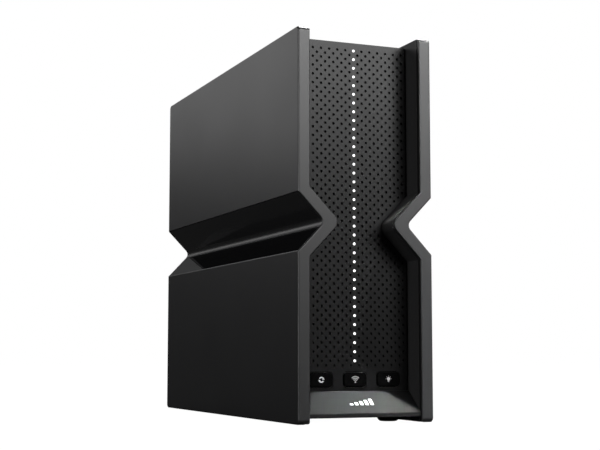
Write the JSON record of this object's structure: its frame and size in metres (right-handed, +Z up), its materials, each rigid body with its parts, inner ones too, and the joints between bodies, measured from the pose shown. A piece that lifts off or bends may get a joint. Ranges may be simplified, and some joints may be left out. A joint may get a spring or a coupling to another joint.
{
  "type": "cable modem gateway",
  "caption": "Upright cable modem gateway: two slab sides drawn in to a waist, a recessed perforated front with a line of lights and push buttons, and a recessed rear panel with ports.",
  "frame": {"origin": "on the surface the case stands on, below the middle of the case", "axes": "+X to the right seen from the front, +Y to the back, +Z up"},
  "size_m": [0.076, 0.231, 0.2036],
  "materials": {
    "panel": "satin, fine grain",
    "liner": "satin black",
    "grille": "satin dark grey",
    "backing": "matt black",
    "cover": "matt black",
    "gloss_trim": "piano black",
    "button": "satin black",
    "rubber": "matt",
    "light_guide": "clear to milky, lit white",
    "led": "white, emissive",
    "circuit_board": "solder mask",
    "switch": "matt black",
    "screw": "blackened steel",
    "jack": "black",
    "wan_jack": "blue",
    "connector_shell": "plated steel",
    "coax_metal": "nickel-plated brass",
    "insulator": "white",
    "standoff": "matt black",
    "heat_sink": "extruded",
    "chip": "moulded",
    "thermal_pad": "soft",
    "shield_can": "tinned",
    "capacitor": "sleeved",
    "lead": "sheathed"
  },
  "bodies": {
    "case": {"right_side_panel": "panel", "left_side_panel": "panel", "right_side_liner": "liner", "left_side_liner": "liner", "right_waist_inlay": "gloss_trim", "left_waist_inlay": "gloss_trim", "top_cover": "cover", "bottom_cover": "cover", "rubber_feet": "rubber", "front_grille": "grille", "grille_backing_plate": "backing", "light_guide": "light_guide", "led_strip_board": "circuit_board", "status_leds": "led", "chin_trim": "panel", "button_board": "circuit_board", "button_switches": "switch", "rear_panel": "cover", "case_screws": "screw", "lan_jack_1": "jack", "lan_jack_2": "jack", "lan_jack_3": "jack", "lan_jack_4": "jack", "wan_jack": "wan_jack", "usb_port": "connector_shell", "power_inlet": "jack", "coax_connector": "coax_metal", "coax_insulator": "insulator", "coax_nut": "coax_metal", "power_switch": "switch", "reset_switch": "switch", "main_board": "circuit_board", "board_standoffs": "standoff", "board_screws": "screw", "heat_sink_left_low": "heat_sink", "heat_sink_left_high": "heat_sink", "heat_sink_right_low": "heat_sink", "heat_sink_right_high": "heat_sink", "chips": "chip", "thermal_pads": "thermal_pad", "tuner_shield_can": "shield_can", "wifi_shield_cans": "shield_can", "capacitors": "capacitor", "line_transformers": "chip", "antennas": "circuit_board", "antenna_sockets": "coax_metal", "antenna_leads": "lead"},
    "pairing_button": {"pairing_button": "button"},
    "wifi_button": {"wifi_button": "button"},
    "light_button": {"light_button": "button"},
    "power_button": {"power_button": "button"},
    "reset_button": {"reset_button": "button"}
  },
  "joints": [
    {"name": "pairing_press", "type": "slide", "parent": "case", "child": "pairing_button", "axis": [0, 1, 0], "range_m": [0, 0.0008], "stiffness_N_per_m": 1500},
    {"name": "wifi_press", "type": "slide", "parent": "case", "child": "wifi_button", "axis": [0, 1, 0], "range_m": [0, 0.0008], "stiffness_N_per_m": 1500},
    {"name": "light_press", "type": "slide", "parent": "case", "child": "light_button", "axis": [0, 1, 0], "range_m": [0, 0.0008], "stiffness_N_per_m": 1500},
    {"name": "power_press", "type": "slide", "parent": "case", "child": "power_button", "axis": [0, -1, 0], "range_m": [0, 0.0015], "stiffness_N_per_m": 1200},
    {"name": "reset_press", "type": "slide", "parent": "case", "child": "reset_button", "axis": [0, -1, 0], "range_m": [0, 0.0004], "stiffness_N_per_m": 2000}
  ]
}
